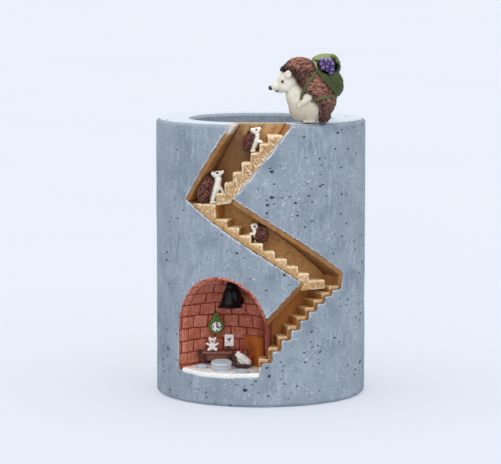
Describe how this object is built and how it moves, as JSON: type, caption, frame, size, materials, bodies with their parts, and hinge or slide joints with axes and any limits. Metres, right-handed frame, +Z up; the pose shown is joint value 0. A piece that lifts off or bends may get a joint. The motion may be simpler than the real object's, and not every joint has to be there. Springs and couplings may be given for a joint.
{
  "type": "hedgehog planter",
  "caption": "Round cement-look plant pot with a zigzag stairwell in its wall leading to a brick room, with painted hedgehog figures and a lift-out drain plug.",
  "frame": {"origin": "centre of the foot ring, on the surface that the pot stands on", "axes": "+Z up along the pot's axis, -Y towards the front with the stairwell, +X to the viewer's right"},
  "size_m": [0.086, 0.086, 0.1411],
  "materials": {
    "cement": "matt painted cement look with small air holes",
    "tan": "matt painted resin",
    "step_tan": "matt painted resin, worn edges",
    "brick": "matt painted resin brickwork",
    "white": "matt painted resin",
    "wood": "painted resin, wood look",
    "dark_wood": "painted resin, dark wood look",
    "door_wood": "painted resin, wood look",
    "black": "satin black paint",
    "leaf_green": "satin painted resin",
    "pale_grey": "matt painted resin",
    "cream": "satin painted resin",
    "spine_brown": "matt painted resin with modelled spines",
    "grape_purple": "satin painted resin",
    "red": "matt painted resin",
    "rubber": "matt black rubber"
  },
  "bodies": {
    "pot": {"pot_body": "cement", "stairwell_liner": "tan", "upper_flight": "step_tan", "left_landing": "step_tan", "middle_flight": "step_tan", "right_landing": "step_tan", "lower_flight": "step_tan", "brick_room_shell": "brick", "room_floor": "white", "clock_dial": "white", "toy_bear": "white", "round_mat": "white", "chair_blanket": "white", "bench_top": "wood", "bench_apron": "wood", "bench_left_leg": "dark_wood", "bench_right_leg": "dark_wood", "bench_scroll": "dark_wood", "picture_stand": "dark_wood", "rocking_chair": "dark_wood", "room_door": "door_wood", "door_knob": "black", "lamp_shade": "black", "lamp_arm": "black", "clock_hands": "black", "rim_hedgehog_nose": "black", "rim_hedgehog_left_eye": "black", "rim_hedgehog_right_eye": "black", "landing_hedgehog_nose": "black", "upper_hedgehog_nose": "black", "middle_hedgehog_nose": "black", "clock_case": "leaf_green", "leaf_bag": "leaf_green", "leaf_flap": "leaf_green", "left_upper_strap": "leaf_green", "right_upper_strap": "leaf_green", "left_lower_strap": "leaf_green", "right_lower_strap": "leaf_green", "picture_frame": "pale_grey", "drum_table": "pale_grey", "low_stool": "pale_grey", "rim_hedgehog_body": "cream", "landing_hedgehog_body": "cream", "upper_hedgehog_body": "cream", "middle_hedgehog_body": "cream", "chair_reader": "spine_brown", "rim_hedgehog_coat": "spine_brown", "landing_hedgehog_coat": "spine_brown", "upper_hedgehog_coat": "spine_brown", "middle_hedgehog_coat": "spine_brown", "grape_cluster": "grape_purple", "red_cushion": "red", "red_slippers": "red"},
    "drain_plug": {"drain_plug": "rubber"}
  },
  "joints": [
    {"name": "plug_lift", "type": "slide", "parent": "pot", "child": "drain_plug", "axis": [0, 0, 1], "range_m": [0, 0.115]}
  ]
}
